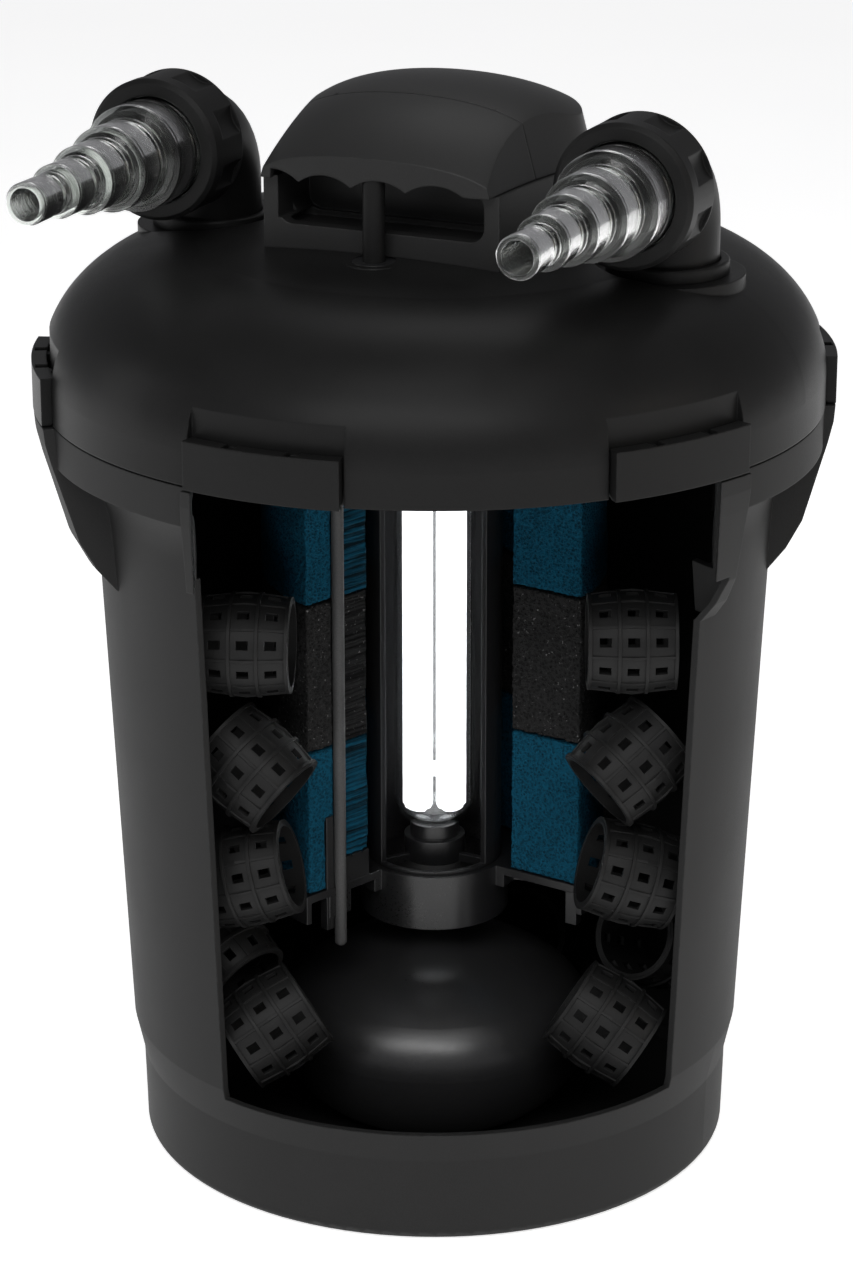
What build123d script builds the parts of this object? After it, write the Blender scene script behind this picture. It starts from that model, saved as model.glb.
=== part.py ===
"""Pressurized pond filter as a sectioned display model: bucket, clipped lid, UV head, foam stack.

Millimetres, +Z up, origin at the centre of the base's underside. The hose tails point along -Y.
Bearings (phi) are degrees round the vertical axis, from -Y towards +X.
"""
from math import atan2, cos, degrees, radians, sin
import os

from build123d import *

os.makedirs("parts", exist_ok=True)

# ---- driving dimensions ----
WALL = 3.5                  # moulded wall of the bucket
LID_WALL = 4.0              # moulded wall of the lid's crown
GAP = 0.3                   # clearance where curved faces of moving pieces pass
RUN = 0.05                  # radial clearance of a running fit

BASE_R = 145.0              # bucket radius at the base
PLINTH_R = 146.0            # bucket radius at the top of the plinth
PLINTH_TOP = 42.0
SHELF_R = 150.4             # bucket radius at the foot of the drafted wall
SHELF_TOP = 62.0
WALL_TOP = 326.0            # height where the collar starts to flare
WALL_TOP_R = 162.2
COLLAR_R = 185.0            # collar under the lid
COLLAR_LOW = 356.0
RIM_TOP = 374.5             # bucket rim
RIM_IN_R = 170.5            # inside of the rim flange
SEAM = 375.5                # underside of the lid

LID_R = 185.5
LID_SHOULDER = 392.0        # height where the lid's side starts to curve in
CROWN_R = 112.0             # radius where the crown starts
CROWN_EDGE = 451.0
CROWN_TOP = 458.0
LID_SIDE_IN = 177.5         # inside of the lid's side wall

SECTION_TURN = 24.0         # bearing of the middle of the sectioned front
WINDOW = (-42.0, 49.0)      # bucket window, from SECTION_TURN
WINDOW_LOW = 57.0
WINDOW_STEP = 322.0         # above this the window has flat upright sides
WINDOW_SIDES = (-107.5, 127.0)
WEDGE = (-45.6, 56.0)       # wedge taken out of the foams, from SECTION_TURN
TUBE_CUT = (-52.0, 49.0)    # slot taken out of the guard tube, from SECTION_TURN

CLIPS = 6
CLIP_ARC = 11.5             # half of a clip's bearing span
CLIP_R = 190.4
CLIP_IN_R = 183.2
CLIP_TOP = 398.0
POCKET_R = 181.5            # back of the pocket that a clip lies in
CLIP_AXIS = (186.4, 394.5)  # radius and height of a clip's pin
CLIP_PIN_R = 1.25
EAR_OFFSET = 15.0           # half of the distance between a clip's two ears

PORT_X = 117.0              # elbows stand at +-PORT_X
PAD_R = 36.0
PAD_TOP = 447.5
SPIGOT_R = 22.0
ELBOW_R = 23.8
ELBOW_BORE = 17.0
BEND_R = 25.0
TAIL_Z = 494.0              # height of the hose tails' axis
THREAD_R = 27.0
NUT_R = 33.4
NUT_BACK = 31.0             # distances from the elbow's upright axis, along the tail
SPIGOT_END = 51.0
SEAL_LOW = 440.0
GASKET = 2.0
FLANGE = 3.0
NUT_LIP = 4.0
NUT_EYE = 25.6
TAIL_STEPS = ((25.0, 24.0), (20.0, 24.0), (16.0, 24.0), (12.5, 24.0), (10.0, 27.0))  # radius, length
TAIL_WALL = 2.6
LAND = 14.0                 # plain land at the outer end of each hose step
GROOVE = 0.9

FOAM_IN, FOAM_OUT = 44.0, 84.0
FOAM_LEVELS = (139.7, 213.0, 287.0, 361.0)
TUBE_IN, TUBE_OUT = 30.0, 33.0
TUBE_LOW, TUBE_TOP = 137.0, 431.0
QUARTZ_IN, QUARTZ_OUT = 18.3, 20.0
QUARTZ_LOW, QUARTZ_TOP = 156.0, 450.0
LAMP_R, LAMP_PITCH = 7.4, 8.25
LAMP_LOW, LAMP_TOP = 160.0, 395.0
PLATE_TOP = 139.5
PLATE_R = 86.0
ROD_R, ROD_CIRCLE = 3.0, 64.0
ROD_BEARINGS = (WEDGE[0] + SECTION_TURN, WEDGE[0] + SECTION_TURN - 90, WEDGE[0] + SECTION_TURN - 180)
ROD_LOW = 108.0
CROSS_LOW, CROSS_TOP = 369.0, 377.0
PULL_R, PULL_Y = 5.2, -67.5
BUSH_LOW = 441.0
DUCT_Z = 415.0

HEAD_LOW = 450.0            # the head's underside is cut to the lid's crown
TRAY_TOP = 467.0
GRIP_LOW = 489.0            # underside of the handle
HEAD_FRONT, HEAD_BACK = -60.8, 63.0
SEAM_Y = -25.0              # seam between handle and rear cover, on the centre line
SEAM_BEND = 700.0
HEAD_BROW = -73.5           # front of the handle on the centre line
HEAD_TOP, TOP_Y = 527.5, 5.0  # highest point of the head
TOP_BOW = 136.4             # radius of the head's top, seen from the side
CHEEK_LEAN = 13.0           # how far the sides lean in over the shells' height
HEAD_WALL = 3.0
SCREWS = ((-48, 0), (48, 0), (-40, 44), (40, 44))

DOME_R, DOME_H, DOME_MID = 79.0, 47.0, 49.5
DOME_SIDE = 30.0            # radius of the float's flank

BARREL_R, BARREL_END_R, BARREL_LEN, BARREL_WALL = 23.6, 21.2, 42.0, 1.8
BARRELS = (                 # bearing from SECTION_TURN, radius, height, tilt, lean
    (-47.0, 119.0, 277.0, 43.0, 0.0), (-46.0, 119.0, 216.0, 20.0, 35.0),
    (-48.0, 118.0, 160.0, 40.0, -15.0), (-63.0, 117.0, 108.0, 20.0, 30.0),
    (-43.5, 113.5, 82.5, 60.0, -30.0), (50.0, 120.0, 277.0, -50.0, 0.0),
    (51.0, 119.0, 216.0, -25.0, -35.0), (52.0, 119.0, 158.0, -45.0, 18.0),
    (69.0, 117.0, 110.0, -20.0, 25.0), (45.5, 115.0, 82.5, -60.0, 32.0),
    (150.0, 118.0, 60.0, 90.0, 0.0), (-120.0, 118.0, 60.0, 90.0, 0.0),
)


# ---- helpers ----
def ring(r_in, r_out, low, high):
    """Upright ring or, with r_in 0, a disc."""
    face = Circle(r_out) - Circle(r_in) if r_in else Circle(r_out)
    return Pos(0, 0, low) * extrude(face, high - low)


def sector(start, end, radius, low, high):
    """Wedge prism between two bearings, from the axis out to radius."""
    steps = max(2, round((end - start) / 20))
    bearings = [start + (end - start) * i / steps for i in range(steps + 1)]
    reach = radius / cos(radians((end - start) / steps / 2))
    rim = [(reach * sin(radians(b)), -reach * cos(radians(b))) for b in bearings]
    face = make_face(Polyline((0, 0), *rim, close=True))
    return Pos(0, 0, low) * extrude(face, high - low)


def turned(shape, bearing):
    """Shape modelled on bearing 0, moved round to another bearing."""
    return Rot(0, 0, bearing) * shape


def spun(profile):
    """Solid of revolution of a closed (radius, height) profile."""
    return revolve(Plane.XZ * make_face(profile), Axis.Z)


def tail_spun(profile, seam=0):
    """Revolve a closed (radius, distance along the tail) profile about the hose tail's axis.

    The surface's seam line starts at the bearing seam.
    """
    body = revolve(Plane.XZ * make_face(profile), Axis.Z)
    return Pos(0, 0, TAIL_Z) * Rot(90, 0, 0) * Rot(0, 0, seam) * body


def section_cut(span, radius, low, high):
    return sector(span[0] + SECTION_TURN, span[1] + SECTION_TURN, radius, low, high)


# ---- bucket ----
def boss_prism(top_half, low_half, low, high):
    """Trapezoid that bounds a clip boss sideways, narrower at the top."""
    outline = Polyline((-top_half, high), (top_half, high), (low_half, low), (-low_half, low), close=True)
    return extrude(Plane.XZ * make_face(outline), 200)


def boss_profile(inset, top):
    """Swelling under a clip: outer points of its upright section, moved in by inset."""
    outer = [(190.2, top), (189.6, 367), (187.2, 357), (184.0, 346), (180.6, 334), (176.6, 320),
             (169.5, 307)]
    points = [(r - inset, z) for r, z in outer if z <= top]
    return points + [(161.2 - inset, 297), (150, 297), (150, top)]


def clip_boss(inset=0.0, top=RIM_TOP):
    face = make_face(Polyline(*boss_profile(inset, top), close=True))
    swelling = revolve(Plane.XZ * face, Axis.Z) & sector(-18, 18, 220, 290, 380)
    return swelling & boss_prism(39.5 - inset, 48 - inset, 296, top + 0.01)


def clip_catch():
    """Upstand on a boss that a shut clip closes over."""
    return ring(185.6, 187.4, RIM_TOP - 1, RIM_TOP + 3) & sector(-3.6, 3.6, 220, 360, 380)


def bucket():
    outer = Polyline((0, 0), (BASE_R - 4, 0))
    foot = ThreePointArc((BASE_R - 4, 0), (BASE_R - 1.17, 1.17), (BASE_R, 4))
    side = Polyline((BASE_R, 4), (PLINTH_R, PLINTH_TOP), (SHELF_R, SHELF_TOP), (WALL_TOP_R, WALL_TOP))
    flare = EllipticalCenterArc((COLLAR_R, WALL_TOP), COLLAR_R - WALL_TOP_R, COLLAR_LOW - WALL_TOP, 90,
                                arc_size=90)
    in_r = COLLAR_R - 4
    rim = Polyline((COLLAR_R, COLLAR_LOW), (COLLAR_R, RIM_TOP), (RIM_IN_R, RIM_TOP),
                   (RIM_IN_R, RIM_TOP - 8.5), (in_r, RIM_TOP - 8.5), (in_r, COLLAR_LOW + 3.5))
    in_wall = WALL_TOP_R - WALL
    in_flare = EllipticalCenterArc((in_r, WALL_TOP + 4), in_r - in_wall, COLLAR_LOW - WALL_TOP - 0.5, 90,
                                   arc_size=90)
    inner = Polyline((in_wall, WALL_TOP + 4), (SHELF_R - WALL, SHELF_TOP), (PLINTH_R - WALL, PLINTH_TOP),
                     (BASE_R - WALL, 8), (BASE_R - WALL - 4.5, WALL), (0, WALL), (0, 0))
    body = spun(Wire([*outer.edges(), foot, *side.edges(), flare, *rim.edges(), in_flare, *inner.edges()]))
    for k in range(CLIPS):
        body += turned(clip_boss(), 60 * k)
    for k in range(CLIPS):
        body -= turned(clip_boss(WALL, RIM_TOP - 8.5), 60 * k)
    for k in range(CLIPS):
        body += turned(clip_catch(), 60 * k)
    for k in range(10):
        lug = Pos(0, -(BASE_R - WALL - 1.2), 51) * Box(6, 5, 8)
        body += turned(lug, 36 * k + 12)
    body -= section_cut(WINDOW, 230, WINDOW_LOW, WINDOW_STEP)
    left, right = WINDOW_SIDES
    middle = Pos((left + right) / 2, -120, (WINDOW_STEP + RIM_TOP) / 2)
    body -= turned(middle * Box(right - left, 240, RIM_TOP - WINDOW_STEP + 0.1), SECTION_TURN)
    return largest(body)


def largest(shape):
    return max(shape.solids(), key=lambda s: s.volume)


def dome_profile(inset):
    """Half outline of the oblate float, moved in by inset: flat foot, rounded flank and shallow crown."""
    low, high = WALL + 0.1 + inset, DOME_MID + DOME_H - inset
    side_r, reach = DOME_SIDE - inset, DOME_R - DOME_SIDE
    crown_r = (reach ** 2 + (DOME_H - inset) ** 2 - side_r ** 2) / (2 * (DOME_H - DOME_SIDE))
    meet = degrees(atan2(DOME_MID - (high - crown_r), reach))
    crown = CenterArc((0, high - crown_r), crown_r, meet, 90 - meet)
    flank = CenterArc((reach, DOME_MID), side_r, 0, meet)
    lower = ThreePointArc((DOME_R - inset, DOME_MID), (DOME_R - 12 - inset, DOME_MID - 30), (34, low))
    return Wire([crown, flank, lower, Line((34, low), (0, low)), Line((0, low), (0, high))])


def displacer_dome():
    """Hollow oblate float that sits on the floor."""
    return spun(dome_profile(0)) - spun(dome_profile(3))


def bio_barrel():
    """Open media barrel about Z: hoops, staves and slots between them."""
    half = BARREL_LEN / 2
    arch_out = ThreePointArc((BARREL_END_R, -half), (BARREL_R, 0), (BARREL_END_R, half))
    arch_in = ThreePointArc((BARREL_END_R - BARREL_WALL, half), (BARREL_R - BARREL_WALL, 0),
                            (BARREL_END_R - BARREL_WALL, -half))
    top = Line((BARREL_END_R, half), (BARREL_END_R - BARREL_WALL, half))
    low = Line((BARREL_END_R - BARREL_WALL, -half), (BARREL_END_R, -half))
    body = spun(Wire([arch_out, top, arch_in, low]))
    for height in (-half + 1, -6.5, 6.5, half - 1):
        hoop_r = BARREL_END_R + (BARREL_R - BARREL_END_R) * (1 - (height / half) ** 2)
        body += ring(hoop_r - 1.2, hoop_r + 1.2, height - 0.8, height + 0.8)
    for k in range(10):
        stave = Pos(0, -(BARREL_R - 0.6), 0) * Box(1.4, 3.4, BARREL_LEN - 1.6)
        trimmed = stave & spun(Polyline((BARREL_END_R - 1.5, -half), (BARREL_END_R + 1.1, -half),
                                        (BARREL_R + 1.1, 0), (BARREL_END_R + 1.1, half),
                                        (BARREL_END_R - 1.5, half), (BARREL_R - 1.5, 0), close=True))
        body += turned(trimmed, 36 * k)
    slots = []
    for k in range(10):
        for height in (-13, 0, 13):
            slots.append(turned(Pos(0, -BARREL_R, height) * Box(4.2, 8, 5.6), 36 * k + 18))
    return body - slots


def placed_barrel(barrel, place):
    """Axis laid flat along the bearing's tangent, then tilted and leaned."""
    bearing, radius, height, tilt, lean = place
    aimed = Rot(0, 0, tilt) * Rot(0, lean, 0) * Rot(0, 90, 0) * barrel
    return turned(Pos(0, -radius, height) * aimed, bearing + SECTION_TURN)


# ---- lid ----
def lid_outside():
    """Solid that fills the lid's outer shape, used to fit the parts that sit on it."""
    halfway = CROWN_TOP - (CROWN_TOP - CROWN_EDGE) / 4
    crown = ThreePointArc((0, CROWN_TOP), (CROWN_R / 2, halfway), (CROWN_R, CROWN_EDGE))
    shoulder = EllipticalCenterArc((CROWN_R, LID_SHOULDER), LID_R - CROWN_R, CROWN_EDGE - LID_SHOULDER, 0,
                                   arc_size=90)
    rest = Polyline((LID_R, LID_SHOULDER), (LID_R, SEAM), (0, SEAM), (0, CROWN_TOP))
    return spun(Wire([crown, shoulder, *rest.edges()]))


def lid_inside():
    """Solid that fills the lid's hollow."""
    low, peak = CROWN_EDGE - LID_WALL, CROWN_TOP - LID_WALL
    halfway = peak - (CROWN_TOP - CROWN_EDGE) / 4
    crown = ThreePointArc((0, peak), (CROWN_R / 2, halfway), (CROWN_R, low))
    shoulder = EllipticalCenterArc((CROWN_R, LID_SHOULDER), LID_SIDE_IN - CROWN_R, low - LID_SHOULDER, 0,
                                   arc_size=90)
    rest = Polyline((LID_SIDE_IN, LID_SHOULDER), (LID_SIDE_IN, SEAM + 9), (RIM_IN_R, SEAM + 7),
                    (RIM_IN_R, SEAM - 1), (0, SEAM - 1), (0, peak))
    return spun(Wire([crown, shoulder, *rest.edges()]))


def clip_ears():
    """Two hooked ears that hold a clip's pin off the back of its pocket."""
    radius, height = CLIP_AXIS
    back = POCKET_R - 2.5
    ears = []
    for side in (-EAR_OFFSET, EAR_OFFSET):
        arm = Pos(side, -(back + radius) / 2, height) * Box(5, radius - back, 3.2)
        eye = Pos(side, -radius, height) * Rot(0, 90, 0) * Cylinder(1.9, 5)
        hole = Pos(side, -radius, height) * Rot(0, 90, 0) * Cylinder(CLIP_PIN_R, 7)
        ears.append(arm + eye - hole)
    return ears[0] + ears[1]


def lid():
    body = lid_outside() - lid_inside()
    for side in (-1, 1):
        body -= Pos(side * PORT_X, 0, 0) * ring(0, PAD_R, PAD_TOP, 470)
        body += Pos(side * PORT_X, 0, 0) * ring(0, PAD_R, 436, PAD_TOP)
    body += ring(0, 40, TUBE_TOP, 455)
    body += Pos(0, PULL_Y, 0) * ring(0, 14, BUSH_LOW, 455)
    for side in (-1, 1):
        body -= Pos(side * PORT_X, 0, 0) * ring(0, SPIGOT_R + RUN + 0.05, 430, 470)
    body -= ring(0, 24, 420, 470)
    body -= ring(0, 32, TUBE_TOP - 1, 440)
    body -= Pos(0, PULL_Y, 0) * ring(0, 10, 430, 470)
    body -= ring(172, 176, SEAM - 1, SEAM + 4)
    for k in range(CLIPS):
        span = CLIP_ARC + 0.35
        pocket = ring(POCKET_R, 200, SEAM - 1, 420) & sector(-span, span, 230, 370, 421)
        body -= turned(pocket, 60 * k)
    for k in range(CLIPS):
        body += turned(clip_ears(), 60 * k)
    return body


def lid_seal():
    return ring(172.1, 175.9, RIM_TOP + 0.1, SEAM + 3.9)


def clip():
    """Closure clip on bearing 0, shut."""
    radius, height = CLIP_AXIS
    body = spun(Polyline((CLIP_IN_R + 3, SEAM), (CLIP_R, SEAM), (CLIP_R, CLIP_TOP), (CLIP_IN_R, CLIP_TOP),
                         (CLIP_IN_R, SEAM + 3), close=True)) & sector(-CLIP_ARC, CLIP_ARC, 230, 370, 400)
    body -= ring(CLIP_IN_R - 2, 188.0, SEAM - 1, SEAM + 6) & sector(-4.4, 4.4, 230, 370, 400)
    for side in (-EAR_OFFSET, EAR_OFFSET):
        body -= Pos(side, -(radius - 3.4), height + 1.2) * Box(6, 11.2, 8.4)
    pin_way = Pos(0, -radius, height) * Rot(0, 90, 0) * Cylinder(CLIP_PIN_R + RUN, 2 * EAR_OFFSET + 16)
    return body - pin_way


def clip_pins():
    radius, height = CLIP_AXIS
    pin = Pos(0, -radius, height) * Rot(0, 90, 0) * Cylinder(CLIP_PIN_R, 2 * EAR_OFFSET + 15)
    return [turned(pin, 60 * k) for k in range(CLIPS)]


# ---- foam stack and lamp, hung from the lid ----
def foam(low, high):
    body = ring(FOAM_IN, FOAM_OUT, low, high) - section_cut(WEDGE, 120, low - 1, high + 1)
    for bearing in ROD_BEARINGS:
        body -= turned(Pos(0, -ROD_CIRCLE, 0) * ring(0, ROD_R + GAP, low - 1, high + 1), bearing)
    return body


def rib_room(extra):
    """Guide rib that stands on the carrier plate beside the front tie rod."""
    start = ROD_BEARINGS[0]
    rib = ring(68 - extra, 72.5 + extra, 118, 177 + extra)
    return rib & sector(start - 4 - extra, start - 0.2, 120, 110, 180)


def rod_block(extra):
    """Raised seat on the carrier plate between the front tie rod and the hub."""
    start = ROD_BEARINGS[0]
    block = ring(FOAM_IN + 0.5 - extra, 60.5 + extra, PLATE_TOP - 3, 153 + extra)
    return block & sector(start - 14 - extra, start - 0.2, 120, 130, 160)


def foam_bottom():
    return largest(foam(FOAM_LEVELS[0], FOAM_LEVELS[1] - 0.1) - rib_room(GAP) - rod_block(GAP))


def carrier_plate():
    """Bottom plate that the tie rods lift, sectioned like the foams; its hub stays whole."""
    plate = ring(35, PLATE_R, PLATE_TOP - 4, PLATE_TOP) + ring(PLATE_R - 3, PLATE_R, 125, PLATE_TOP)
    plate += ring(35, 41, 129, PLATE_TOP)
    for bearing in range(100, 340, 30):
        leg = Pos(0, -79, 127) * Box(5, 6, 18)
        web = Pos(0, -60, 132) * Box(2.5, 46, 8)
        plate += turned(leg + web, bearing)
    plate += turned(Pos(0, -79, 127) * Box(5, 6, 18), WEDGE[1] + SECTION_TURN + 3)
    plate += rib_room(0) + rod_block(0)
    for bearing in ROD_BEARINGS:
        plate += turned(Pos(0, -ROD_CIRCLE, 0) * ring(0, 7, 124, PLATE_TOP), bearing)
    plate -= section_cut(WEDGE, 130, 100, 200)
    plate += ring(TUBE_OUT + GAP, 36.5, 112, PLATE_TOP)
    for bearing in ROD_BEARINGS:
        plate -= turned(Pos(0, -ROD_CIRCLE, 0) * ring(0, ROD_R, 100, 200), bearing)
    return largest(plate)


def tie_rods():
    rod = Pos(0, -ROD_CIRCLE, 0) * ring(0, ROD_R, ROD_LOW, CROSS_TOP + 5)
    rod = fillet(rod.edges().group_by(Axis.Z)[0], 2.4)
    return [turned(rod, bearing) for bearing in ROD_BEARINGS]


def crosshead():
    """C-shaped yoke above the top plate; its open side clears the outlet duct."""
    start = ROD_BEARINGS[-1] - 9
    yoke = ring(56, 76, CROSS_LOW, CROSS_TOP) & sector(start, 9, 120, CROSS_LOW - 1, CROSS_TOP + 1)
    for bearing in ROD_BEARINGS:
        yoke -= turned(Pos(0, -ROD_CIRCLE, 0) * ring(0, ROD_R, 360, 390), bearing)
    return yoke - Pos(0, PULL_Y, 0) * ring(0, PULL_R, 360, 390)


def rod_nuts():
    nut = Pos(0, -ROD_CIRCLE, CROSS_TOP) * extrude(RegularPolygon(5.6, 6) - Circle(ROD_R), 4.5)
    return [turned(nut, bearing) for bearing in ROD_BEARINGS]


def top_plate():
    plate = ring(TUBE_OUT, 88, 361, 365) + ring(TUBE_OUT, 38, 361, 367.5)
    for bearing in ROD_BEARINGS:
        plate -= turned(Pos(0, -ROD_CIRCLE, 0) * ring(0, ROD_R + RUN, 350, 380), bearing)
    return plate


def uv_guard_tube():
    tube = ring(TUBE_IN, TUBE_OUT, TUBE_LOW, TUBE_TOP) + ring(TUBE_IN, 40, TUBE_TOP - 4, TUBE_TOP)
    tube -= section_cut(TUBE_CUT, 60, TUBE_LOW + 4, 350)
    tube -= Pos(45, 0, DUCT_Z) * Rot(0, 90, 0) * Cylinder(12.5, 40)
    return tube


def sleeve_support():
    """Spider inside the guard tube's foot that centres the quartz sleeve."""
    cup = ring(0, 15, TUBE_LOW, 149) + ring(0, 12, 149, QUARTZ_LOW - 0.1)
    for k in range(3):
        cup += turned(Pos(0, -21.5, TUBE_LOW + 2) * Box(3, 16, 4), 120 * k + SECTION_TURN + 60)
    return cup & ring(0, TUBE_IN - 0.05, 100, 200)


def quartz_sleeve():
    def finger(radius, low, top):
        body = ring(0, radius, low, top)
        return fillet(body.edges().group_by(Axis.Z)[0], radius * 0.62)
    return finger(QUARTZ_OUT, QUARTZ_LOW, QUARTZ_TOP) - finger(QUARTZ_IN, QUARTZ_LOW + 1.8, QUARTZ_TOP + 1)


def sleeve_seal():
    return ring(QUARTZ_OUT + 0.05, 23.9, 441, 445)


def sleeve_clamp():
    body = ring(QUARTZ_OUT + 0.4, 31.9, 432.5, 439.9) + ring(QUARTZ_OUT + 0.4, 23.9, 439.9, 440.9)
    for k in range(6):
        body -= turned(Pos(0, -33, 434) * Cylinder(4, 8), 60 * k)
    return body


def uv_lamp():
    tubes = []
    for side in (-LAMP_PITCH, LAMP_PITCH):
        tube = ring(0, LAMP_R, LAMP_LOW, LAMP_TOP)
        tubes.append(Pos(side, 0, 0) * fillet(tube.edges().group_by(Axis.Z)[0], 6.2))
    bridge = Pos(0, 0, 183) * Box(6, 5, 6)
    return turned(tubes[0] + tubes[1] + bridge, SECTION_TURN)


def lamp_base():
    base = Box(31.5, 17, 26) + Pos(0, 0, 16) * Box(24, 13, 8)
    for side in (-6, 6):
        base += Pos(side, 0, 23) * Cylinder(1.2, 8)
    return turned(Pos(0, 0, LAMP_TOP + 13) * base, SECTION_TURN)


def lamp_socket():
    body = Pos(0, 0, 439.5) * Box(28, 17, 23) - Pos(0, 0, 421.5) * Box(24.4, 13.4, 15)
    for side in (-6, 6):
        body -= Pos(side, 0, 430) * Cylinder(1.4, 12)
    flange = ring(0, 23.5, QUARTZ_TOP + 0.3, QUARTZ_TOP + 3.3)
    return turned(body + flange, SECTION_TURN)


def outlet_duct():
    """Carries filtered water from the guard tube to the outlet port."""
    def leg(radius):
        run = Rot(0, 90, 0) * Cylinder(radius, PORT_X - TUBE_OUT + 6)
        across = Pos((TUBE_OUT + PORT_X) / 2, 0, DUCT_Z) * run
        up = Pos(PORT_X, 0, 0) * ring(0, radius, DUCT_Z, 436)
        knee = Pos(PORT_X, 0, DUCT_Z) * Sphere(radius)
        return across & (Pos(PORT_X / 2, 0, DUCT_Z) * Box(PORT_X, 60, 60)), up, knee
    outer, inner = leg(15), leg(12.5)
    body = outer[0] + outer[1] + outer[2] + Pos(PORT_X, 0, 0) * ring(0, 24, 432, 436)
    body -= inner[0]
    body -= inner[1]
    body -= inner[2]
    body -= Pos(PORT_X, 0, 0) * ring(0, 12.5, DUCT_Z, 440)
    return body - ring(0, TUBE_OUT, 390, 440) - ring(0, 40, TUBE_TOP - 4, TUBE_TOP)


def rod_bush():
    return Pos(0, PULL_Y, 0) * ring(PULL_R + RUN, 10, BUSH_LOW, 455.2)


# ---- UV head ----
def head_plan(front, back, half, corner, low, high):
    face = Pos(0, (front + back) / 2) * RectangleRounded(2 * half, back - front, corner)
    return Pos(0, 0, low) * extrude(face, high - low)


def head_outline(inset, lean=0.0):
    """Plan of the head: bowed front, sides that widen towards the back, round back corners."""
    side, front = inset + lean, HEAD_BROW + inset + 0.2 * lean
    corner, back = (58.0 - side, front + 5.5), (0, HEAD_BACK - side)
    shoulder = (53 - 0.8 * side, 55 - 0.8 * side)
    right = Spline(corner, (61.5 - side, -25), (67 - side, 6), (67.5 - side, 32), shoulder, back,
                   tangents=[(0.05, 1), (-1, 0)])
    bow = ThreePointArc((-corner[0], corner[1]), (0, front), corner)
    return make_face(Wire([bow, right, *mirror(right, Plane.YZ).edges()]))


def head_shape(inset):
    """Upper half of the head, handle and cover together, moved in by inset."""
    low, high = GRIP_LOW - 4, GRIP_LOW + 46
    flank = loft([Pos(0, 0, low) * head_outline(inset), Pos(0, 0, high) * head_outline(inset, CHEEK_LEAN)])
    axis_z = HEAD_TOP - TOP_BOW
    peak = HEAD_TOP - inset
    arch_half = [(17, 0.7), (32, 2.7), (45, 6.0), (56, 11.0), (65, 19.0), (73, 33.0)]
    right = [(x, peak - drop) for x, drop in arch_half]
    left = [(-x, z) for x, z in reversed(right)]
    arch = Spline(*left, (0, peak), *right)
    sides = Polyline(right[-1], (right[-1][0], axis_z + 40), (left[0][0], axis_z + 40), left[0])
    upright = Plane(origin=(0, TOP_Y, 0), x_dir=(1, 0, 0), z_dir=(0, -1, 0))
    face = upright * make_face(Wire([arch, *sides.edges()]))
    return flank & revolve(face, Axis((0, TOP_Y, axis_z), (1, 0, 0)))


def seam_front(gap):
    """Everything in front of the seam between handle and cover."""
    behind = Pos(0, SEAM_Y + SEAM_BEND, 0) * ring(0, SEAM_BEND + gap, 430, 560)
    return Pos(0, -100, 500) * Box(200, 260, 120) - behind


def finger_room():
    """Hollow under the handle: rounded slot, finger scallops and the space behind the brow."""
    slot = Pos(0, -53, 478) * Rot(90, 0, 0) * extrude(RectangleRounded(103, 22.6, 7), 25, both=True)
    scallops = [Pos(x, -60, 471) * Rot(90, 0, 0) * Cylinder(22.5, 30) for x in (-49.5, -22.5, 4.5, 31.5)]
    mouth = Pos(-3, -60, 482) * Box(97, 30, 26)
    back = Pos(0, -45, 494) * Box(98, 30, 14)
    grip = (scallops[0] + scallops[1] + scallops[2] + scallops[3]) & mouth
    return slot + grip + back


def handle():
    above = Pos(0, 0, GRIP_LOW + 31) * Box(200, 200, 62)
    body = head_shape(0) & seam_front(0.7) & above
    body -= finger_room()
    inner = head_shape(HEAD_WALL) & Pos(0, -HEAD_WALL, 0) * seam_front(0.7)
    body -= inner - Pos(0, PULL_Y, 0) * ring(0, 9, 480, 520)
    body -= Pos(0, PULL_Y, 0) * ring(0, PULL_R, 470, 494)
    return largest(body)


def head_cover():
    above = Pos(0, 0, GRIP_LOW + 31) * Box(200, 200, 62)
    hollow = head_shape(HEAD_WALL) - Pos(0, HEAD_WALL, 0) * seam_front(0)
    body = (head_shape(0) - seam_front(0)) & above
    body -= hollow
    for x, y in SCREWS:
        body += (Pos(x, y, 0) * ring(0, 5, GRIP_LOW, 506)) & hollow & above
        body -= Pos(x, y, 0) * ring(0, 1.6, GRIP_LOW - 1, 502)
    return largest(body)


def head_base():
    outline = Pos(0, 0, HEAD_LOW) * extrude(head_outline(-0.5), GRIP_LOW - 0.3 - HEAD_LOW)
    body = outline & Pos(0, 100 + HEAD_FRONT, 470) * Box(200, 200, 60)
    body -= finger_room()
    body -= head_plan(-54, -30, 52, 6, TRAY_TOP - 3, TRAY_TOP + 1)
    cavity = head_plan(-24, 54, 55, 10, 462, GRIP_LOW + 1)
    for x, y in SCREWS:
        cavity -= Pos(x, y, 0) * ring(0, 5, 455, 495)
    body -= cavity
    for x, y in SCREWS:
        body -= Pos(x, y, 0) * ring(0, 2.2, 440, 495)
        body -= Pos(x, y, 0) * ring(0, 4.2, 440, 464)
    body -= lid_outside()
    body += ring(17.5, 23.9, QUARTZ_TOP + 3.4, 464)
    body -= ring(0, 17.5, 440, 470)
    body -= Pos(0, HEAD_BACK - 4, 476) * Rot(90, 0, 0) * Cylinder(6, 20)
    return largest(body)


def head_screws():
    screws = []
    for x, y in SCREWS:
        head = Pos(x, y, 0) * ring(0, 3.6, 460.6, 463.9)
        screws.append(head + Pos(x, y, 0) * ring(0, 1.6, 463.9, 500))
    return screws


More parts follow.
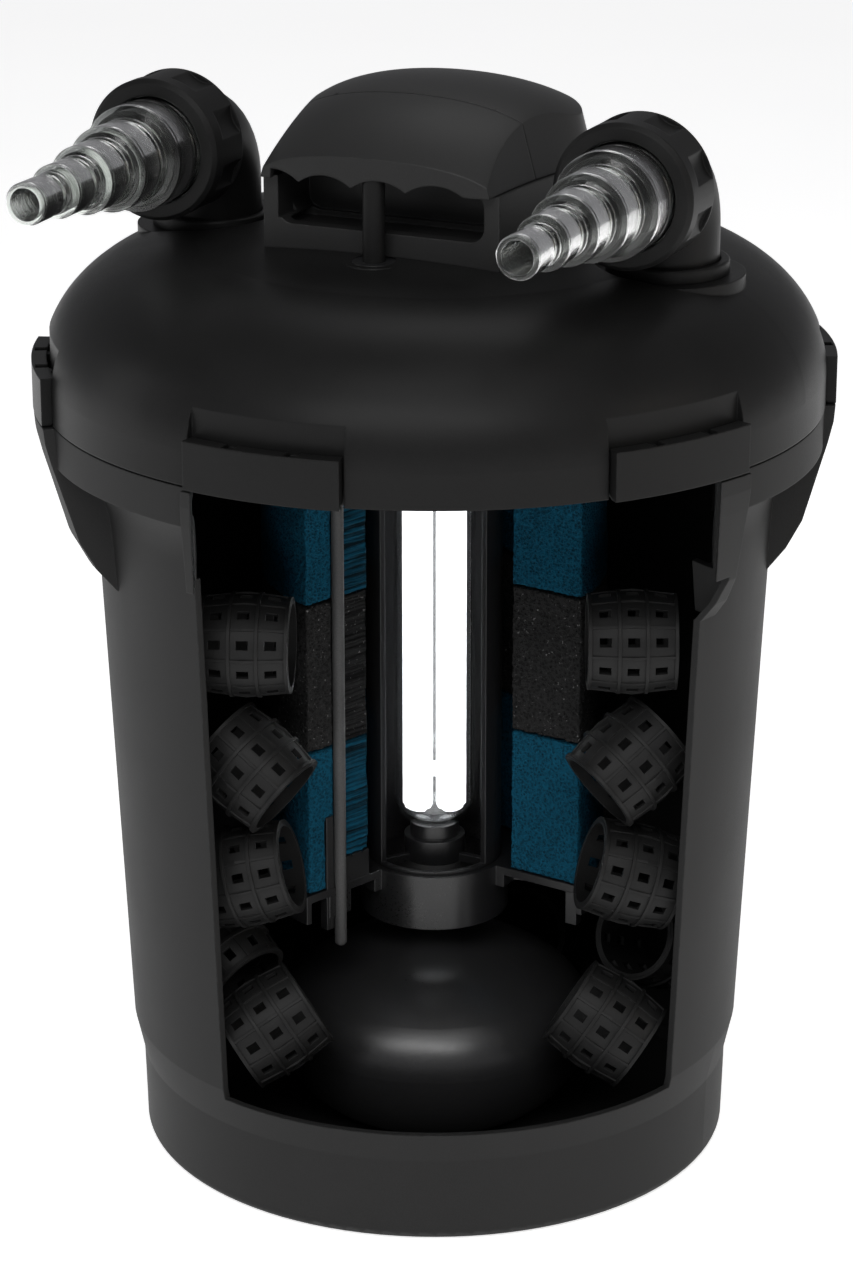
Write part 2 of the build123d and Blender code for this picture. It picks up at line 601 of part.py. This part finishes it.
def cable_gland():
    """Empty gland in the back wall: stem, outer cap and inner nut, about Z before it is placed."""
    body = Pos(0, 0, -0.5) * Cylinder(5.95, 14) + Pos(0, 0, 8.5) * Cylinder(8.5, 5)
    body += Pos(0, 0, -9.1) * Cylinder(8, 4)
    body = fillet(body.edges().group_by(Axis.Z)[-1], 1.5) - Cylinder(3.6, 40)
    return Pos(0, HEAD_BACK - 2, 476) * Rot(-90, 0, 0) * body


def ballast():
    box = fillet(Box(60, 42, 22).edges().filter_by(Axis.Z), 3)
    return Pos(0, 22, 475.6) * box + Pos(0, 22, 488) * Box(20, 10, 6)


# ---- elbows and hose tails ----
def elbow_way(radius, spigot, low):
    """Elbow's solid of one radius: upright run, quarter bend and run towards -Y."""
    up = ring(0, radius, low, TAIL_Z - BEND_R)
    bend = Pos(0, 0, TAIL_Z - BEND_R) * Rot(0, 0, -90) * quarter_bend(radius)
    out = Pos(0, -(BEND_R + spigot) / 2, TAIL_Z) * Rot(90, 0, 0) * Cylinder(radius, spigot - BEND_R)
    return up + bend + out


def quarter_bend(radius):
    """Torus quarter from +Z at the origin, curving to +X."""
    return revolve(Circle(radius), Axis((BEND_R, 0, 0), (0, 1, 0)), 90)


def elbow():
    low = 436.5
    body = elbow_way(ELBOW_R, SPIGOT_END, PAD_TOP + 0.3)
    body += ring(0, SPIGOT_R, low, PAD_TOP + 1) + ring(0, ELBOW_R + 1.8, PAD_TOP + 0.3, PAD_TOP + 3)
    thread = Pos(0, -(NUT_BACK + 1 + SPIGOT_END) / 2, TAIL_Z) * Rot(90, 0, 0)
    body += thread * Cylinder(THREAD_R, SPIGOT_END - NUT_BACK - 1)
    body -= ring(SPIGOT_R - 2.5, 30, SEAL_LOW, SEAL_LOW + 4)
    return body - elbow_way(ELBOW_BORE, SPIGOT_END + 1, low - 1)


def elbow_seal():
    return ring(SPIGOT_R - 2.5, SPIGOT_R + 0.02, SEAL_LOW, SEAL_LOW + 4)


def port_rings():
    rings = []
    for side in (-1, 1):
        body = ring(ELBOW_R + GAP, 28.5, PAD_TOP, PAD_TOP + 6.5)
        body -= ring(0, ELBOW_R + 2.1, PAD_TOP - 1, PAD_TOP + 3.4)
        rings.append(Pos(side * PORT_X, 0, 0) * fillet(body.edges().group_by(Axis.Z)[-1], 1.2))
    return rings


def union_nut():
    """Scalloped nut that clamps the hose tail's flange."""
    low = SPIGOT_END + GASKET + FLANGE + GAP
    high = low + NUT_LIP
    body = tail_spun(Polyline((THREAD_R + GAP, NUT_BACK), (NUT_R - 1, NUT_BACK), (NUT_R, NUT_BACK + 1),
                              (NUT_R, high - 2), (NUT_R - 2, high), (NUT_EYE, high), (NUT_EYE, low),
                              (THREAD_R + GAP, low), close=True))
    middle = Pos(0, -(NUT_BACK + 11), TAIL_Z) * Box(90, 18, 90)
    flute = Pos(0, -(NUT_R + 12.6), 0) * Cylinder(15, 60)
    for k in range(8):
        scoop = Pos(0, -(NUT_BACK + 12), TAIL_Z) * Rot(90, 0, 0) * Rot(0, 0, 45 * k + 22.5) * flute
        body -= scoop & middle
    return body


def gasket():
    return tail_spun(Polyline((ELBOW_BORE, SPIGOT_END), (THREAD_R - 1, SPIGOT_END),
                              (THREAD_R - 1, SPIGOT_END + GASKET), (ELBOW_BORE, SPIGOT_END + GASKET),
                              close=True))


def hose_adapter():
    """Clear stepped hose tail: flange, then steps with a grooved root and a plain land."""
    start = SPIGOT_END + GASKET
    outer = [(THREAD_R, start), (THREAD_R, start + FLANGE)]
    inner = []
    u = start + FLANGE
    for radius, length in TAIL_STEPS:
        end = u + length
        outer += [(radius - 1.5, u), (radius, u + 1.5), (radius, u + 3.5), (radius - GROOVE, u + 4.3),
                  (radius - GROOVE, end - LAND - 0.8), (radius, end - LAND), (radius, end)]
        inner += [(radius - TAIL_WALL, u + (2 if inner else -FLANGE)), (radius - TAIL_WALL, end + 0.6)]
        u = end
    outer[-1] = (outer[-1][0] - 0.8, u)
    outer.insert(-1, (TAIL_STEPS[-1][0], u - 0.8))
    inner[-1] = (inner[-1][0], u)
    return tail_spun(Polyline(*reversed(inner), *outer, close=True), 13)


def at_port(side, shape):
    return Pos(side * PORT_X, 0, 0) * shape


# ---- write one file per node ----
def save(name, shape):
    if isinstance(shape, (list, tuple)):
        shape = Compound(children=list(shape))
    export_step(shape, f"parts/{name}.step")


def main():
    save("bucket", bucket())
    save("displacer_dome", displacer_dome())
    barrel = bio_barrel()
    for number, place in enumerate(BARRELS, 1):
        save(f"bio_barrel_{number:02d}", placed_barrel(barrel, place))
    save("lid", lid())
    save("lid_seal", lid_seal())
    save("clip_pins", clip_pins())
    for k in range(CLIPS):
        save(f"clip_{k + 1}", turned(clip(), 60 * k))
    save("foam_bottom", foam_bottom())
    save("foam_middle", foam(FOAM_LEVELS[1], FOAM_LEVELS[2]))
    save("foam_top", foam(FOAM_LEVELS[2] + 0.1, FOAM_LEVELS[3] - 0.1))
    for make in (top_plate, uv_guard_tube, sleeve_support, quartz_sleeve, sleeve_seal, sleeve_clamp,
                 uv_lamp, lamp_base, lamp_socket, outlet_duct, rod_bush, port_rings, head_base,
                 head_cover, head_screws, cable_gland, ballast, handle, crosshead, tie_rods, rod_nuts,
                 carrier_plate):
        save(make.__name__, make())
    save("pull_rod", Pos(0, PULL_Y, 0) * ring(0, PULL_R, CROSS_LOW, 493.9))
    for side, name in ((-1, "left"), (1, "right")):
        for make in (elbow, elbow_seal, union_nut, gasket, hose_adapter):
            save(f"{make.__name__}_{name}", at_port(side, make()))


main()
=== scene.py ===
"""Looks for the sectioned pond filter: camera, light, materials, foam blocks and clear hose tails.

Metres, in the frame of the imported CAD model: +Z up, hose tails along -Y.
"""
import math

import bpy
import numpy as np
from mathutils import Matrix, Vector, noise


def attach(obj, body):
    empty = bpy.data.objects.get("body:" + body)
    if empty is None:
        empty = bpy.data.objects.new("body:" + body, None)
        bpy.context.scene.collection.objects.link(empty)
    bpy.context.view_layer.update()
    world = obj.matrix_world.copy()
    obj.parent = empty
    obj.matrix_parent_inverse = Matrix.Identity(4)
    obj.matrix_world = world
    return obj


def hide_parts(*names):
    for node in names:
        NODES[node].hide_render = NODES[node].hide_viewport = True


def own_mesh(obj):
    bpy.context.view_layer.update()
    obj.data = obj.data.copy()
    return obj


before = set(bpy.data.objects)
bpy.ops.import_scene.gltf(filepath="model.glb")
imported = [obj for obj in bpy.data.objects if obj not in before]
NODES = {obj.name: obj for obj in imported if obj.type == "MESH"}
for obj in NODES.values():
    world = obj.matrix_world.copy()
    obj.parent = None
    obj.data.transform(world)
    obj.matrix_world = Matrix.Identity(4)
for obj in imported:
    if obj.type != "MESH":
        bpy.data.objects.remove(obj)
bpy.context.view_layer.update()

SECTION_TURN = math.radians(24)     # bearing of the middle of the sectioned front
CUT_BEARING = math.radians(-21.6)   # bearing of the foams' left cut face
KNIFE_END = (0.0605, 0.0625)        # knife marks fade out between these radii, at the tie rod
PORT_X, TAIL_Z = 0.117, 0.494

# Hose tail in mm: its start from the elbow's upright axis, then each step's radius and length.
TAIL_START = 53.0
TAIL_STEPS = ((25.0, 24.0), (20.0, 24.0), (16.0, 24.0), (12.5, 24.0), (10.0, 27.0))
TAIL_FLANGE = 3.0
TAIL_WALL = 2.6
LATHE_SIDES = 144

LENS_MM, SENSOR_MM = 109.7, 36.0
CAMERA_DISTANCE = 1.9               # from CAMERA_TARGET
CAMERA_RISE = math.radians(19.74)
CAMERA_TARGET = (0, 0, 0.25)
FLOOR_RADIUS, FLOOR_SIDES = 6.0, 96
FLOOR_Z = -0.0004                   # a hair under the base, so that the two don't flicker

GLOSSIER_AND_PAINTED_HIGHLIGHT = {"displacer_dome": "dome_gloss_painted_highlight"}    # nodes with a finish of their own: the dome is glossier than inner_black, and its lighter base colour is a painted highlight
FOAMS = {"foam_bottom": "foam_blue", "foam_middle": "foam_charcoal", "foam_top": "foam_blue"}


# ---- camera, light and floor ----
def aim(obj, target):
    direction = Vector(target) - obj.location
    obj.rotation_euler = direction.to_track_quat("-Z", "Y").to_euler()


def add(name, data):
    obj = bpy.data.objects.new(name, data)
    bpy.context.scene.collection.objects.link(obj)
    return obj


def make_camera():
    data = bpy.data.cameras.new("view")
    data.sensor_width = SENSOR_MM
    data.lens = LENS_MM
    data.shift_x = -0.0062
    camera = add("view", data)
    level = CAMERA_DISTANCE * math.cos(CAMERA_RISE)
    away = Vector((level * math.sin(SECTION_TURN), -level * math.cos(SECTION_TURN),
                   CAMERA_DISTANCE * math.sin(CAMERA_RISE)))
    camera.location = Vector(CAMERA_TARGET) + away
    aim(camera, CAMERA_TARGET)
    bpy.context.scene.camera = camera


def softbox(name, place, target, width, height, power, colour=(1, 1, 1)):
    data = bpy.data.lights.new(name, "AREA")
    data.shape = "RECTANGLE"
    data.size, data.size_y = width, height
    data.energy = power
    data.color = colour
    light = add(name, data)
    light.location = place
    aim(light, target)


def make_light():
    softbox("over", (0.35, -0.75, 2.1), (0, 0, 0.35), 1.6, 0.8, 7)
    softbox("top_back", (-0.1, 0.9, 2.2), (0, 0, 0.45), 1.4, 0.7, 5)
    softbox("front", (0.5, -1.75, 1.8), (0, 0, 0.12), 2.3, 0.75, 26)
    softbox("side", (1.8, 0.0, 0.8), (0, 0, 0.35), 0.5, 1.2, 3.5, (1, 0.9, 0.78))
    softbox("side_left", (-1.8, -0.5, 0.7), (0, 0, 0.3), 0.5, 1.2, 3)
    world = bpy.data.worlds.new("studio")
    bpy.context.scene.world = world
    world.use_nodes = True
    tree = world.node_tree
    tree.nodes.clear()
    coords = tree.nodes.new("ShaderNodeTexCoord")
    split = tree.nodes.new("ShaderNodeSeparateXYZ")
    ramp = tree.nodes.new("ShaderNodeValToRGB")
    back = tree.nodes.new("ShaderNodeBackground")
    out = tree.nodes.new("ShaderNodeOutputWorld")
    stops = ramp.color_ramp.elements
    stops[0].position, stops[0].color = 0.0, (0.36, 0.36, 0.37, 1)
    stops[1].position, stops[1].color = 1.0, (0.14, 0.14, 0.14, 1)
    middle = stops.new(0.45)
    middle.color = (0.24, 0.24, 0.25, 1)
    tree.links.new(coords.outputs["Generated"], split.inputs[0])
    tree.links.new(split.outputs["Z"], ramp.inputs[0])
    tree.links.new(ramp.outputs[0], back.inputs["Color"])
    tree.links.new(back.outputs[0], out.inputs["Surface"])
    back.inputs["Strength"].default_value = 0.8


def make_floor():
    """Round paper floor that glows a little, so that it stays white under soft light."""
    turns = [2 * math.pi * k / FLOOR_SIDES for k in range(FLOOR_SIDES)]
    points = [(FLOOR_RADIUS * math.cos(turn), FLOOR_RADIUS * math.sin(turn), FLOOR_Z) for turn in turns]
    mesh = bpy.data.meshes.new("floor")
    mesh.from_pydata(points, [], [list(range(FLOOR_SIDES))])
    floor = add("floor", mesh)
    paint = Paint("floor_paper")
    broad = paint.noise(paint.coords(), 3.0, 3)
    paint.set("Base Color", paint.mix(broad, (0.9, 0.9, 0.9), (0.93, 0.93, 0.93)))
    paint.shader.inputs["Roughness"].default_value = 0.8
    paint.shader.inputs["Specular IOR Level"].default_value = 0.2
    paint.set("Emission Color", paint.mix(broad, (0.98, 0.98, 0.98), (1.0, 1.0, 1.0)))
    paint.shader.inputs["Emission Strength"].default_value = 0.72
    mesh.materials.append(paint.material)


# ---- materials ----
class Paint:
    """A procedural material in the making: one Principled shader and the nodes that feed it."""

    def __init__(self, name):
        self.material = bpy.data.materials.new(name)
        self.material.use_nodes = True
        self.tree = self.material.node_tree
        self.tree.nodes.clear()
        self.shader = self.tree.nodes.new("ShaderNodeBsdfPrincipled")
        out = self.tree.nodes.new("ShaderNodeOutputMaterial")
        self.tree.links.new(self.shader.outputs[0], out.inputs["Surface"])

    def node(self, kind, **settings):
        made = self.tree.nodes.new("ShaderNode" + kind)
        for key, value in settings.items():
            setattr(made, key, value)
        return made

    def link(self, source, target):
        self.tree.links.new(source, target)

    def set(self, name, source):
        self.link(source, self.shader.inputs[name])

    def coords(self, stretch=None, turn=None):
        """Positions in the row frame; with stretch, scaled along each axis after a turn about Z."""
        place = self.node("TexCoord").outputs["Object"]
        if stretch is None and turn is None:
            return place
        moved = self.node("Mapping", vector_type="POINT")
        moved.inputs["Scale"].default_value = stretch or (1, 1, 1)
        moved.inputs["Rotation"].default_value = turn or (0, 0, 0)
        self.link(place, moved.inputs["Vector"])
        return moved.outputs[0]

    def noise(self, place, scale, detail=2.0, rough=0.5, warp=0.0):
        made = self.node("TexNoise")
        made.inputs["Scale"].default_value = scale
        made.inputs["Detail"].default_value = detail
        made.inputs["Roughness"].default_value = rough
        made.inputs["Distortion"].default_value = warp
        self.link(place, made.inputs["Vector"])
        return made.outputs[0]

    def cells(self, place, scale, feature="F1"):
        made = self.node("TexVoronoi", feature=feature)
        made.inputs["Scale"].default_value = scale
        self.link(place, made.inputs["Vector"])
        return made.outputs["Distance"]

    def remap(self, value, low, high, to_low, to_high):
        made = self.node("MapRange")
        ends = {"From Min": low, "From Max": high, "To Min": to_low, "To Max": to_high}
        for name, number in ends.items():
            made.inputs[name].default_value = number
        self.link(value, made.inputs["Value"])
        return made.outputs[0]

    def math(self, operation, first, second=None):
        made = self.node("Math", operation=operation)
        for slot, value in zip(made.inputs, (first, second)):
            if isinstance(value, (int, float)):
                slot.default_value = value
            elif value is not None:
                self.link(value, slot)
        return made.outputs[0]

    def mix(self, share, first, second):
        made = self.node("Mix", data_type="RGBA")
        factor, colour_a, colour_b = made.inputs[0], made.inputs[6], made.inputs[7]
        for slot, value in ((factor, share), (colour_a, first), (colour_b, second)):
            if isinstance(value, tuple):
                slot.default_value = (*value, 1)
            elif isinstance(value, (int, float)):
                slot.default_value = value
            else:
                self.link(value, slot)
        return made.outputs[2]

    def edge_normal(self, radius):
        made = self.node("Bevel", samples=4)
        made.inputs["Radius"].default_value = radius
        return made.outputs[0]

    def edge_mask(self, rounded, low=0.72, high=0.985):
        """1 on sharp edges and 0 on open faces."""
        flat = self.node("NewGeometry").outputs["Normal"]
        facing = self.node("VectorMath", operation="DOT_PRODUCT")
        self.link(rounded, facing.inputs[0])
        self.link(flat, facing.inputs[1])
        return self.remap(facing.outputs["Value"], low, high, 1.0, 0.0)

    def bump(self, height, distance, strength, normal=None):
        made = self.node("Bump")
        made.inputs["Distance"].default_value = distance
        made.inputs["Strength"].default_value = strength
        self.link(height, made.inputs["Height"])
        if normal is not None:
            self.link(normal, made.inputs["Normal"])
        return made.outputs[0]


def moulded(name, dark, light, rough, grain=1500.0, grain_depth=0.25, edge=0.0011, level=0.3):
    """Moulded plastic: fine textured grain, broad mottling and scuffed, rounded edges."""
    paint = Paint(name)
    place = paint.coords()
    broad = paint.noise(place, 11.0, 4, 0.6)
    fine = paint.noise(place, grain, 2, 0.7)
    scuff = paint.noise(place, 240.0, 4, 0.7)
    rounded = paint.edge_normal(edge)
    mask = paint.edge_mask(rounded)
    worn = paint.math("MULTIPLY", mask, paint.remap(scuff, 0.42, 0.7, 0.0, 0.3))
    body = paint.mix(paint.remap(broad, 0.3, 0.7, 0.0, 1.0), dark, light)
    speck = paint.mix(paint.remap(fine, 0.35, 0.8, 0.0, 0.5), body, tuple(1.5 * c for c in light))
    paint.set("Base Color", paint.mix(worn, speck, tuple(min(1.0, 5 * c + 0.03) for c in light)))
    spread = paint.math("ADD", paint.remap(broad, 0.25, 0.75, rough - 0.05, rough + 0.05),
                        paint.remap(fine, 0.3, 0.7, -0.04, 0.04))
    paint.set("Roughness", spread)
    paint.set("Normal", paint.bump(fine, 0.00025, grain_depth, rounded))
    paint.shader.inputs["Specular IOR Level"].default_value = level
    return paint.material


def sponge(name, dark, light, cell, fleck=None):
    """Open-cell filter foam: pores, struts and a colour that drifts.

    The left cut face has knife marks from the axis out to the tie rod.
    """
    paint = Paint(name)
    place = paint.coords()
    pores = paint.cells(place, cell)
    small = paint.cells(place, cell * 2.3)
    broad = paint.noise(place, 28.0, 4, 0.65)
    struts = paint.math("ADD", paint.remap(pores, 0.1, 0.65, 0.0, 0.7),
                        paint.remap(small, 0.1, 0.6, 0.0, 0.45))
    split = paint.node("SeparateXYZ")
    paint.link(place, split.inputs[0])
    x, y = split.outputs["X"], split.outputs["Y"]
    off_cut = paint.math("ADD", paint.math("MULTIPLY", x, math.cos(CUT_BEARING)),
                         paint.math("MULTIPLY", y, math.sin(CUT_BEARING)))
    out_along = paint.math("SUBTRACT", paint.math("MULTIPLY", x, math.sin(CUT_BEARING)),
                           paint.math("MULTIPLY", y, math.cos(CUT_BEARING)))
    near = paint.remap(paint.math("ABSOLUTE", off_cut), 0.0012, 0.0022, 1.0, 0.0)
    inner = paint.remap(out_along, *KNIFE_END, 1.0, 0.0)
    front = paint.remap(out_along, 0.0, 0.001, 0.0, 1.0)
    sliced = paint.math("MULTIPLY", paint.math("MULTIPLY", near, inner), front)
    level_lines = paint.coords((22, 22, 620), (0.0, math.radians(9), 0.0))
    streaks = paint.noise(level_lines, 1.0, 3, 0.6, 0.4)
    marks = paint.remap(streaks, 0.38, 0.64, 0.0, 1.25)
    tone = paint.mix(sliced, struts, marks)
    toned = paint.math("MULTIPLY", tone, paint.remap(broad, 0.3, 0.7, 0.72, 1.15))
    colour = paint.mix(toned, dark, light)
    if fleck is not None:
        grains = paint.noise(place, 620.0, 2, 0.6)
        colour = paint.mix(paint.remap(grains, 0.66, 0.74, 0.0, 0.8), colour, fleck)
    paint.set("Base Color", colour)
    paint.shader.inputs["Roughness"].default_value = 0.95
    paint.shader.inputs["Specular IOR Level"].default_value = 0.15
    height = paint.node("Mix", data_type="FLOAT")
    paint.link(sliced, height.inputs[0])
    paint.link(struts, height.inputs[2])
    paint.link(marks, height.inputs[3])
    paint.set("Normal", paint.bump(height.outputs[0], 0.0009, 0.9))
    return paint.material


def clear(name, colour, rough, ior, rings):
    """Clear moulding: faint rings from the mould along the tail's length, and slight haze."""
    paint = Paint(name)
    place = paint.coords((60, 1400, 60))
    lines = paint.noise(place, 1.0, 3, 0.6)
    haze = paint.noise(paint.coords(), 90.0, 3, 0.6)
    paint.set("Base Color", paint.mix(paint.remap(haze, 0.3, 0.7, 0.0, 1.0), colour,
                                      tuple(0.93 * c for c in colour)))
    paint.set("Roughness", paint.remap(haze, 0.3, 0.7, rough * 0.6, rough * 1.4))
    paint.set("Normal", paint.bump(lines, 0.0002, rings))
    paint.shader.inputs["Transmission Weight"].default_value = 1.0
    paint.shader.inputs["IOR"].default_value = ior
    paint.shader.inputs["Coat Weight"].default_value = 0.6
    paint.shader.inputs["Coat Roughness"].default_value = 0.12
    return paint.material


def glowing(name):
    """Lit lamp glass: white coating, a touch dimmer and bluer in random patches."""
    paint = Paint(name)
    coat = paint.noise(paint.coords(), 60.0, 3, 0.6)
    tone = paint.mix(coat, (0.93, 0.97, 1.0), (1.0, 1.0, 1.0))
    paint.set("Base Color", tone)
    paint.set("Emission Color", tone)
    paint.shader.inputs["Emission Strength"].default_value = 1.9
    paint.set("Roughness", paint.remap(coat, 0.3, 0.7, 0.15, 0.3))
    return paint.material


def metal(name, colour, rough):
    paint = Paint(name)
    brushed = paint.noise(paint.coords((300, 300, 2600)), 1.0, 3, 0.7)
    stain = paint.noise(paint.coords(), 120.0, 4, 0.6)
    rounded = paint.edge_normal(0.0003)
    paint.set("Base Color", paint.mix(paint.remap(stain, 0.35, 0.75, 0.0, 1.0), colour,
                                      tuple(0.7 * c for c in colour)))
    paint.set("Roughness", paint.remap(brushed, 0.3, 0.7, rough - 0.08, rough + 0.1))
    paint.set("Normal", paint.bump(brushed, 0.00008, 0.3, rounded))
    paint.shader.inputs["Metallic"].default_value = 1.0
    return paint.material


def grey(value):
    return (value, value, value)


def slot_of(material):
    """Blender adds .001 to a name that the CAD model's own materials already use."""
    return material.name.split(".")[0]


def make_materials():
    """One finish per slot of the record, and a glossier, lighter copy of inner_black for the displacer
    dome, the float; its lighter base colour is a painted highlight.
    """
    made = [
        moulded("body_black", grey(0.013), grey(0.018), 0.56, level=0.14),
        moulded("lid_black", grey(0.006), grey(0.009), 0.4, grain_depth=0.18, level=0.13),
        moulded("head_black", grey(0.013), grey(0.018), 0.42, grain_depth=0.2, level=0.25),
        moulded("inner_black", grey(0.008), (0.012, 0.012, 0.013), 0.33, 900.0, 0.1, 0.0006, 0.6),
        # Lighter base colour than inner_black: a painted highlight on the dome. The higher specular
        # level is its real gloss.
        moulded("dome_gloss_painted_highlight", grey(0.013), (0.018, 0.018, 0.019), 0.34, 900.0, 0.1, level=0.75),
        moulded("media_black", grey(0.008), grey(0.013), 0.5, 1100.0, 0.25, 0.0004, 0.18),
        moulded("rod_grey", grey(0.045), grey(0.075), 0.55, 1500.0, 0.6, 0.0004),
        moulded("seal_rubber", (0.008, 0.008, 0.009), grey(0.014), 0.7, 2200.0, 0.3, 0.0003, 0.35),
        moulded("ballast_grey", (0.13, 0.13, 0.135), grey(0.19), 0.5),
        moulded("lamp_cap", (0.66, 0.65, 0.62), (0.76, 0.75, 0.72), 0.35, edge=0.0005),
        glowing("lamp_white"),
        metal("steel", (0.62, 0.61, 0.59), 0.3),
        clear("quartz", (0.98, 0.99, 1.0), 0.02, 1.46, 0.02),
        clear("clear_plastic", (0.78, 0.81, 0.78), 0.16, 1.2, 0.9),
        sponge("foam_blue", (0.0005, 0.008, 0.013), (0.003, 0.070, 0.125), 620.0),
        sponge("foam_charcoal", grey(0.003), grey(0.022), 480.0, grey(0.22)),
    ]
    return {slot_of(material): material for material in made}


# ---- pieces ----
def foam_block(node, material):
    """Foam block in its CAD solid's room, with pores and soft hollows pressed into its surface."""
    rough = add("rough_" + node, NODES[node].data.copy())
    grid = rough.modifiers.new("grid", "REMESH")
    grid.mode = "VOXEL"
    grid.voxel_size = 0.0013
    graph = bpy.context.evaluated_depsgraph_get()
    mesh = bpy.data.meshes.new_from_object(rough.evaluated_get(graph))
    bpy.data.objects.remove(rough)
    mesh.name = node + "_cells"
    count = len(mesh.vertices)
    points = np.zeros(count * 3, np.float32)
    normals = np.zeros(count * 3, np.float32)
    mesh.vertices.foreach_get("co", points)
    mesh.vertex_normals.foreach_get("vector", normals)
    points, normals = points.reshape(-1, 3), normals.reshape(-1, 3)
    depth = np.zeros(count, np.float32)
    for k in range(count):
        place = Vector(points[k].tolist())
        pore = noise.voronoi(place * 330)[0][0]
        hollow = noise.noise(place * 42) + 0.5 * noise.noise(place * 95)
        depth[k] = 0.00075 * min(1.0, pore * 1.3) + 0.0007 * max(0.0, hollow + 0.25)
    points -= normals * depth[:, None]
    mesh.vertices.foreach_set("co", points.ravel())
    mesh.materials.clear()
    mesh.materials.append(material)
    mesh.polygons.foreach_set("use_smooth", [True] * len(mesh.polygons))
    mesh.update()
    block = add(node + "_block", mesh)
    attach(block, "lid")
    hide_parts(node)
    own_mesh(block)
    return block


def rounded_line(points, radius, steps=5):
    """Polyline whose corners are rounded, in the plane of (radius, distance)."""
    line = [points[0]]
    for before, corner, after in zip(points, points[1:], points[2:]):
        a, b, c = Vector(before), Vector(corner), Vector(after)
        cut = min(radius, (a - b).length * 0.45, (c - b).length * 0.45)
        start, end = b + (a - b).normalized() * cut, b + (c - b).normalized() * cut
        for k in range(steps + 1):
            t = k / steps
            line.append(tuple((1 - t) ** 2 * start + 2 * t * (1 - t) * b + t * t * end))
    line.append(points[-1])
    return line


def tail_outline():
    """Closed (radius, distance) outline in mm: ribs, grooves and lips outside, stepped bore inside."""
    at = TAIL_START + TAIL_FLANGE
    outer = [(26.9, TAIL_START), (26.9, at)]
    inner = []
    for number, (radius, length) in enumerate(TAIL_STEPS):
        end = at + length
        outer += [(radius - 1.6, at + 0.1), (radius - 0.1, at + 1.6), (radius - 0.1, at + 3.2),
                  (radius - 1.3, at + 4.4), (radius - 1.2, at + 5.6), (radius - 0.3, at + 6.6),
                  (radius - 1.1, at + 7.9), (radius - 0.9, end - 14.4), (radius - 0.1, end - 13.4),
                  (radius - 0.1, end - 3.0), (radius - 0.45, end - 2.2), (radius - 0.1, end - 1.4),
                  (radius - 0.1, end - 0.4)]
        bore = radius - TAIL_WALL
        inner += [(bore, at + (2.2 if number else -TAIL_FLANGE)), (bore, end + 0.5)]
        at = end
    outer[-1] = (radius - 0.1, at - 0.9)
    outer.append((radius - 1.0, at))
    inner[-1] = (bore, at - 0.4)
    inner.append((bore + 0.5, at))
    loop = outer + inner[::-1]
    return rounded_line([*loop, loop[0], loop[1]], 0.55)[1:-1]


def hose_tail(side, name, node, material):
    """Clear stepped hose tail, turned about its own axis; side is -1 on the left and 1 on the right."""
    outline = tail_outline()
    points, faces = [], []
    for k in range(LATHE_SIDES):
        turn = 2 * math.pi * k / LATHE_SIDES
        for radius, along in outline:
            points.append((side * PORT_X + radius * math.cos(turn) / 1000, -along / 1000,
                           TAIL_Z + radius * math.sin(turn) / 1000))
    rows = len(outline)
    for k in range(LATHE_SIDES):
        after = (k + 1) % LATHE_SIDES
        for j in range(rows):
            ahead = (j + 1) % rows
            faces.append((k * rows + j, k * rows + ahead, after * rows + ahead, after * rows + j))
    mesh = bpy.data.meshes.new(name)
    mesh.from_pydata(points, [], faces)
    mesh.polygons.foreach_set("use_smooth", [True] * len(faces))
    mesh.materials.append(material)
    mesh.validate()
    tail = add(name, mesh)
    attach(tail, "elbow_" + node.rsplit("_", 1)[1])
    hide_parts(node)
    return tail


def paint_nodes(materials):
    for name, obj in NODES.items():
        for place in obj.material_slots:
            place.material = materials[GLOSSIER_AND_PAINTED_HIGHLIGHT.get(name, slot_of(place.material))]


make_camera()
make_light()
make_floor()
finishes = make_materials()
paint_nodes(finishes)
for foam, finish in FOAMS.items():
    foam_block(foam, finishes[finish])
hose_tail(-1, "clear_tail_left", "hose_adapter_left", finishes["clear_plastic"])
hose_tail(1, "clear_tail_right", "hose_adapter_right", finishes["clear_plastic"])
bpy.context.scene.view_settings.view_transform = "Standard"
